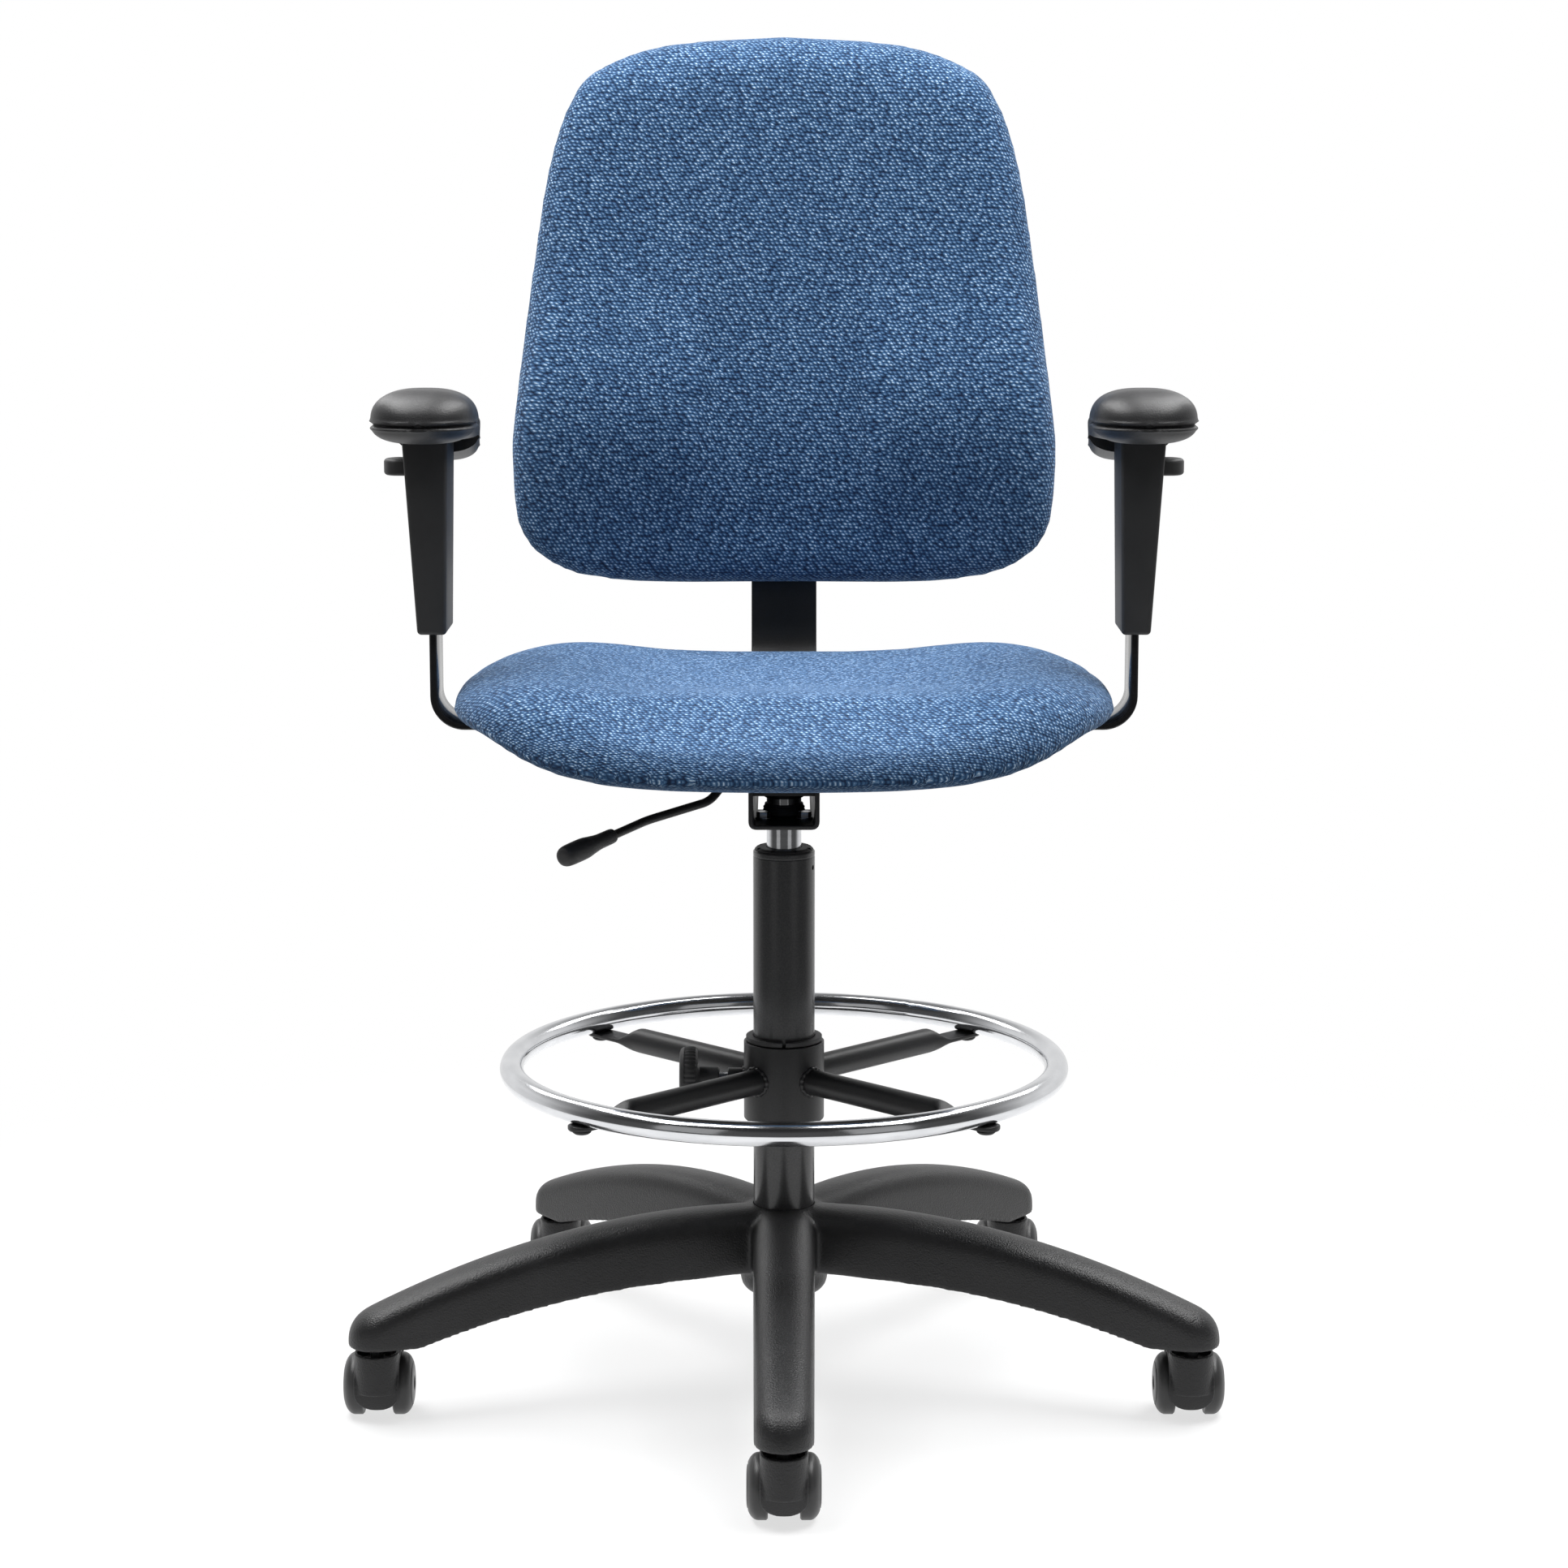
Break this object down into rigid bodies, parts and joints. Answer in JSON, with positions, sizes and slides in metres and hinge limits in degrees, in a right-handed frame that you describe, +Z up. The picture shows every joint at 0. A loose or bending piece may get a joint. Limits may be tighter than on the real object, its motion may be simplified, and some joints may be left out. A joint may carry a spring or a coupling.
{
  "type": "drafting chair",
  "caption": "Tall task chair on a five-leg caster base, with gas lift, clamped foot ring, height-adjustable arms and an upholstered seat and back.",
  "frame": {"origin": "on the floor under the axis of the gas lift column", "axes": "+Z up, the chair faces -Y, +X to the right of someone looking at the chair from the front"},
  "size_m": [0.7066, 0.7196, 1.0989],
  "materials": {
    "nylon": "black glass-filled nylon, fine pebble grain",
    "wheel": "black nylon, smooth",
    "column": "black semi-gloss paint",
    "powder_coat": "black matte powder coat",
    "chrome": "bright chrome plate",
    "steel": "zinc-plated steel",
    "moulded": "black moulded plastic, fine grain",
    "polyurethane": "black self-skinning foam, satin",
    "plywood": "moulded plywood, stained black",
    "fabric": "blue tweed weave with pale flecks"
  },
  "bodies": {
    "base": {"base_star": "nylon", "column_tube": "column", "column_bush": "moulded", "thrust_bearing": "steel", "caster_1_stem": "steel", "caster_2_stem": "steel", "caster_3_stem": "steel", "caster_4_stem": "steel", "caster_5_stem": "steel"},
    "piston": {"piston_rod": "steel"},
    "seat": {"gas_cylinder": "chrome", "taper_socket": "powder_coat", "taper_boot": "moulded", "mechanism_channel": "powder_coat", "seat_pan": "plywood", "seat_cushion": "fabric", "back_upright": "powder_coat", "arm_bar_left": "column", "arm_bar_right": "column"},
    "valve": {"valve_button": "steel"},
    "lever": {"lever_rod": "powder_coat", "lever_handle": "moulded"},
    "back": {"back_shell": "moulded", "back_cushion": "fabric"},
    "ring_bush": {"foot_ring_bush": "moulded"},
    "ring": {"foot_ring": "chrome", "foot_ring_frame": "powder_coat", "foot_ring_screw_1": "moulded", "foot_ring_screw_2": "moulded", "foot_ring_screw_3": "moulded", "foot_ring_screw_4": "moulded"},
    "clamp": {"clamp_pad": "moulded"},
    "knob": {"clamp_stud": "steel", "clamp_knob": "moulded"},
    "arm_left": {"arm_sleeve_left": "moulded", "arm_pad_left": "polyurethane"},
    "arm_button_left": {"arm_button_left": "moulded"},
    "arm_right": {"arm_sleeve_right": "moulded", "arm_pad_right": "polyurethane"},
    "arm_button_right": {"arm_button_right": "moulded"},
    "caster_1": {"caster_1_hood": "nylon", "caster_1_axle": "steel"},
    "caster_1_wheel_left": {"caster_1_wheel_left": "wheel"},
    "caster_1_wheel_right": {"caster_1_wheel_right": "wheel"},
    "caster_2": {"caster_2_hood": "nylon", "caster_2_axle": "steel"},
    "caster_2_wheel_left": {"caster_2_wheel_left": "wheel"},
    "caster_2_wheel_right": {"caster_2_wheel_right": "wheel"},
    "caster_3": {"caster_3_hood": "nylon", "caster_3_axle": "steel"},
    "caster_3_wheel_left": {"caster_3_wheel_left": "wheel"},
    "caster_3_wheel_right": {"caster_3_wheel_right": "wheel"},
    "caster_4": {"caster_4_hood": "nylon", "caster_4_axle": "steel"},
    "caster_4_wheel_left": {"caster_4_wheel_left": "wheel"},
    "caster_4_wheel_right": {"caster_4_wheel_right": "wheel"},
    "caster_5": {"caster_5_hood": "nylon", "caster_5_axle": "steel"},
    "caster_5_wheel_left": {"caster_5_wheel_left": "wheel"},
    "caster_5_wheel_right": {"caster_5_wheel_right": "wheel"}
  },
  "joints": [
    {"name": "seat_swivel", "type": "hinge", "parent": "base", "child": "piston", "pos_m": [0, 0, 0.09], "axis": [0, 0, 1], "continuous": true},
    {"name": "gas_lift", "type": "slide", "parent": "piston", "child": "seat", "axis": [0, 0, 1], "range_m": [0, 0.254]},
    {"name": "lever_lift", "type": "hinge", "parent": "seat", "child": "lever", "pos_m": [-0.0265, 0, 0.5137], "axis": [0, 1, 0], "range_deg": [0, 6], "stiffness_Nm_per_rad": 4, "springref_deg": -5.73},
    {"name": "valve_press", "type": "slide", "parent": "seat", "child": "valve", "axis": [0, 0, -1], "range_m": [0, 0.003]},
    {"name": "back_height", "type": "slide", "parent": "seat", "child": "back", "axis": [0, 0.1616, 0.9869], "range_m": [0, 0.075]},
    {"name": "arm_height_left", "type": "slide", "parent": "seat", "child": "arm_left", "axis": [0, 0, 1], "range_m": [-0.03, 0.06]},
    {"name": "arm_button_press_left", "type": "slide", "parent": "arm_left", "child": "arm_button_left", "axis": [0, 0, 1], "range_m": [0, 0.003], "stiffness_N_per_m": 400, "springref_m": -0.002},
    {"name": "arm_height_right", "type": "slide", "parent": "seat", "child": "arm_right", "axis": [0, 0, 1], "range_m": [-0.03, 0.06]},
    {"name": "arm_button_press_right", "type": "slide", "parent": "arm_right", "child": "arm_button_right", "axis": [0, 0, 1], "range_m": [0, 0.003], "stiffness_N_per_m": 400, "springref_m": -0.002},
    {"name": "foot_ring_height", "type": "slide", "parent": "base", "child": "ring_bush", "axis": [0, 0, 1], "range_m": [-0.06, 0.13]},
    {"name": "foot_ring_turn", "type": "hinge", "parent": "ring_bush", "child": "ring", "pos_m": [0, 0, 0.25], "axis": [0, 0, 1], "continuous": true},
    {"name": "clamp_advance", "type": "slide", "parent": "ring", "child": "clamp", "axis": [-1, 0, 0], "range_m": [0, 0.0051]},
    {"name": "knob_turn", "type": "hinge", "parent": "clamp", "child": "knob", "pos_m": [-0.08, 0, 0.256], "axis": [-1, 0, 0], "range_deg": [0, 1440]},
    {"name": "caster_1_swivel", "type": "hinge", "parent": "base", "child": "caster_1", "pos_m": [0, -0.342, 0.06], "axis": [0, 0, 1], "continuous": true},
    {"name": "caster_1_roll_left", "type": "hinge", "parent": "caster_1", "child": "caster_1_wheel_left", "pos_m": [0, -0.324, 0.025], "axis": [1, 0, 0], "continuous": true},
    {"name": "caster_1_roll_right", "type": "hinge", "parent": "caster_1", "child": "caster_1_wheel_right", "pos_m": [0, -0.324, 0.025], "axis": [1, 0, 0], "continuous": true},
    {"name": "caster_2_swivel", "type": "hinge", "parent": "base", "child": "caster_2", "pos_m": [0.32526, -0.10568, 0.06], "axis": [0, 0, 1], "continuous": true},
    {"name": "caster_2_roll_left", "type": "hinge", "parent": "caster_2", "child": "caster_2_wheel_left", "pos_m": [0.32526, -0.08768, 0.025], "axis": [1, 0, 0], "continuous": true},
    {"name": "caster_2_roll_right", "type": "hinge", "parent": "caster_2", "child": "caster_2_wheel_right", "pos_m": [0.32526, -0.08768, 0.025], "axis": [1, 0, 0], "continuous": true},
    {"name": "caster_3_swivel", "type": "hinge", "parent": "base", "child": "caster_3", "pos_m": [0.20102, 0.27668, 0.06], "axis": [0, 0, 1], "continuous": true},
    {"name": "caster_3_roll_left", "type": "hinge", "parent": "caster_3", "child": "caster_3_wheel_left", "pos_m": [0.20102, 0.29468, 0.025], "axis": [1, 0, 0], "continuous": true},
    {"name": "caster_3_roll_right", "type": "hinge", "parent": "caster_3", "child": "caster_3_wheel_right", "pos_m": [0.20102, 0.29468, 0.025], "axis": [1, 0, 0], "continuous": true},
    {"name": "caster_4_swivel", "type": "hinge", "parent": "base", "child": "caster_4", "pos_m": [-0.20102, 0.27668, 0.06], "axis": [0, 0, 1], "continuous": true},
    {"name": "caster_4_roll_left", "type": "hinge", "parent": "caster_4", "child": "caster_4_wheel_left", "pos_m": [-0.20102, 0.29468, 0.025], "axis": [1, 0, 0], "continuous": true},
    {"name": "caster_4_roll_right", "type": "hinge", "parent": "caster_4", "child": "caster_4_wheel_right", "pos_m": [-0.20102, 0.29468, 0.025], "axis": [1, 0, 0], "continuous": true},
    {"name": "caster_5_swivel", "type": "hinge", "parent": "base", "child": "caster_5", "pos_m": [-0.32526, -0.10568, 0.06], "axis": [0, 0, 1], "continuous": true},
    {"name": "caster_5_roll_left", "type": "hinge", "parent": "caster_5", "child": "caster_5_wheel_left", "pos_m": [-0.32526, -0.08768, 0.025], "axis": [1, 0, 0], "continuous": true},
    {"name": "caster_5_roll_right", "type": "hinge", "parent": "caster_5", "child": "caster_5_wheel_right", "pos_m": [-0.32526, -0.08768, 0.025], "axis": [1, 0, 0], "continuous": true}
  ],
  "couplings": [
    {"joint": "valve_press", "follows": "lever_lift", "m_per_rad": 0.0265},
    {"joint": "clamp_advance", "follows": "knob_turn", "m_per_rad": 0.00019894}
  ]
}
